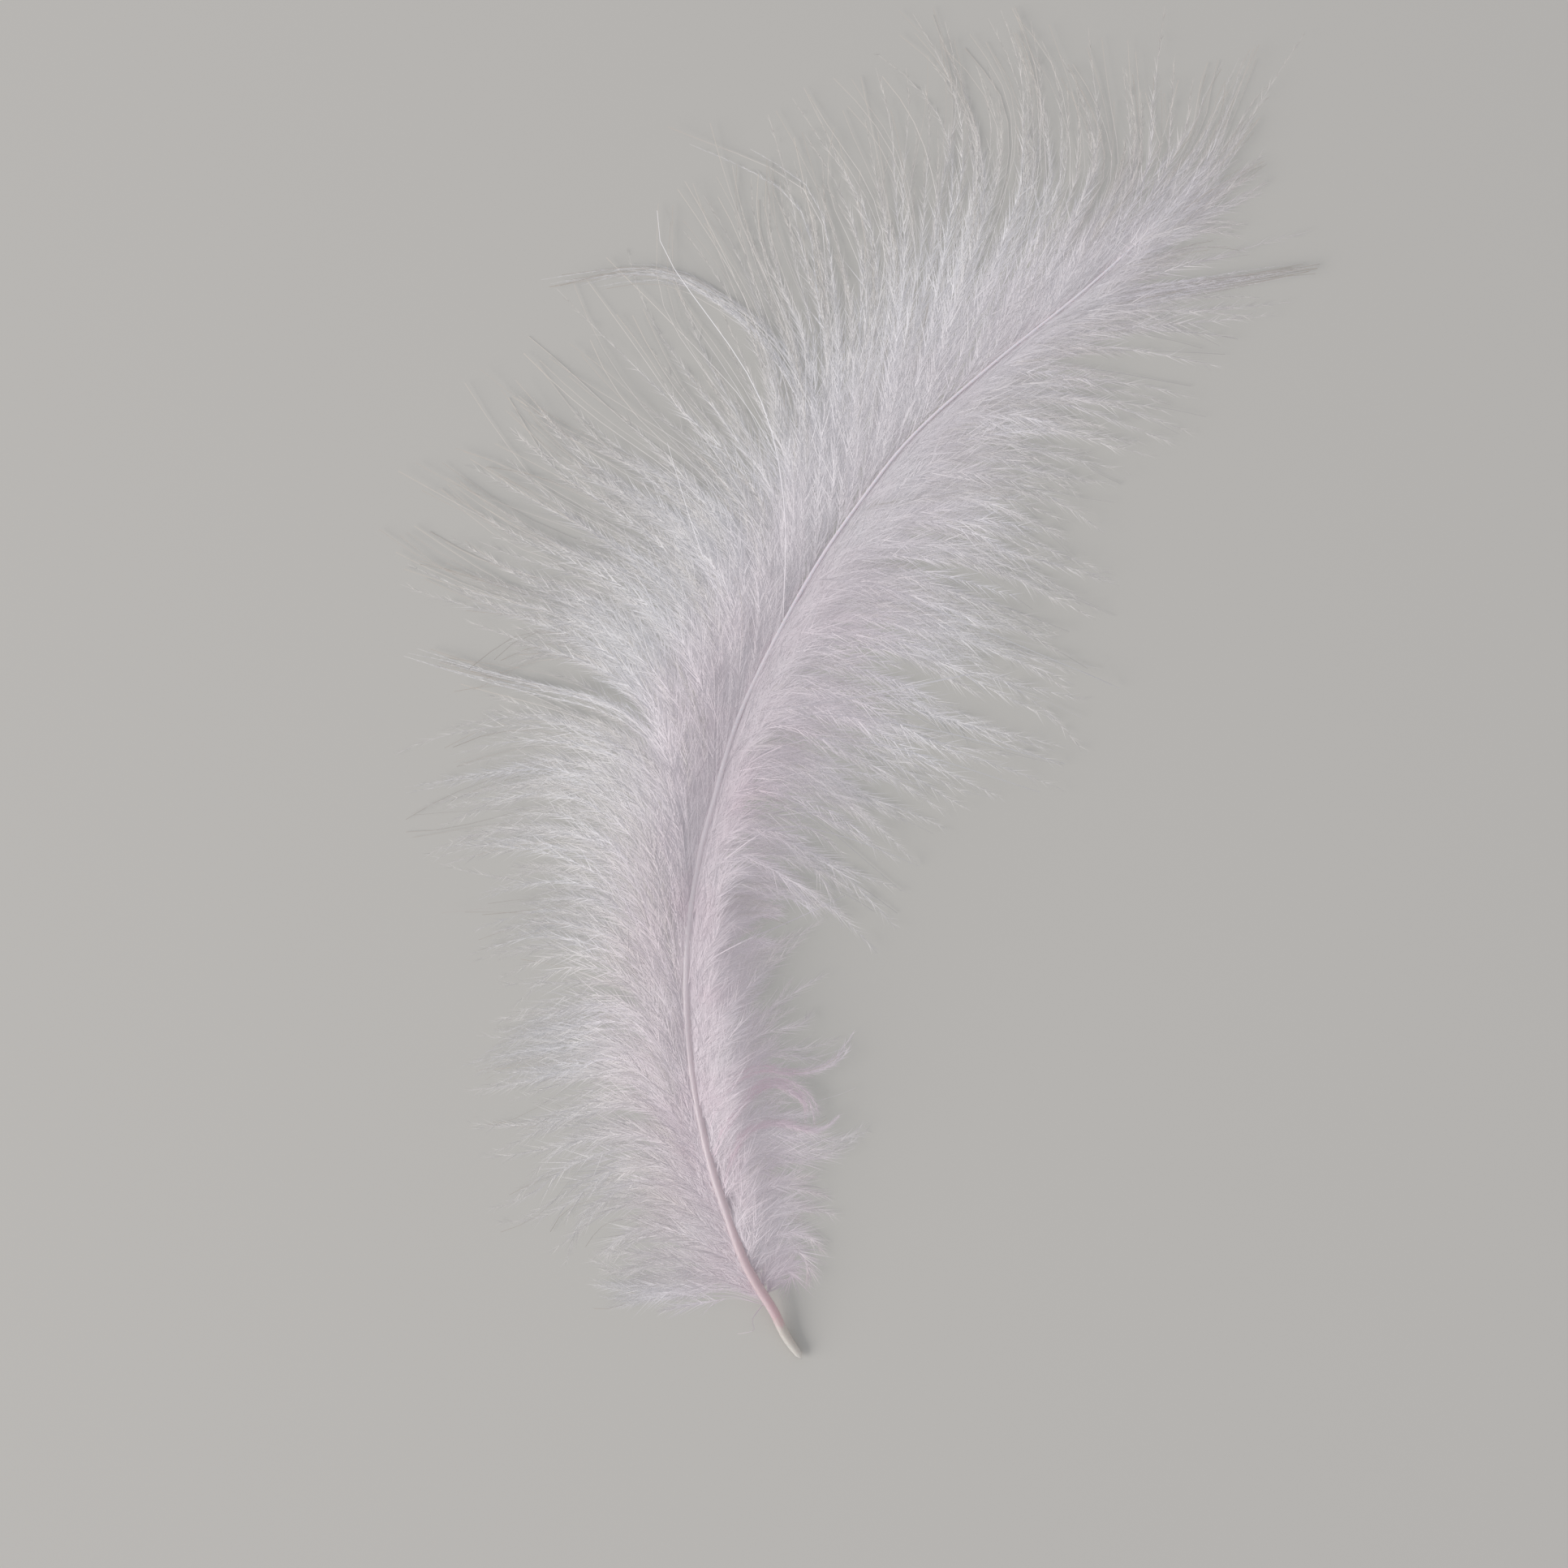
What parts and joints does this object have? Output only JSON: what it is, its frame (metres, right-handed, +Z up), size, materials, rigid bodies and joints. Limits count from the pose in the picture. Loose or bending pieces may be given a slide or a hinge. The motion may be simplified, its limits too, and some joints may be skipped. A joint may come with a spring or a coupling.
{
  "type": "downy turkey feather",
  "caption": "Soft downy feather with a bare quill tip, a curved tapering shaft and loose fluffy barbs on both sides, lying flat.",
  "frame": {"origin": "middle of the bounding box's underside, on the surface that the feather lies on", "axes": "+Y up the feather from the quill tip towards the crown, +X to the right of the shaft, +Z up away from the surface"},
  "size_m": [0.0816, 0.1178, 0.0059],
  "materials": {
    "down": "soft matte down dyed very pale pink, with a silky sheen on the combed barbs"
  },
  "bodies": {
    "root": {"feather": "down"}
  },
  "joints": []
}
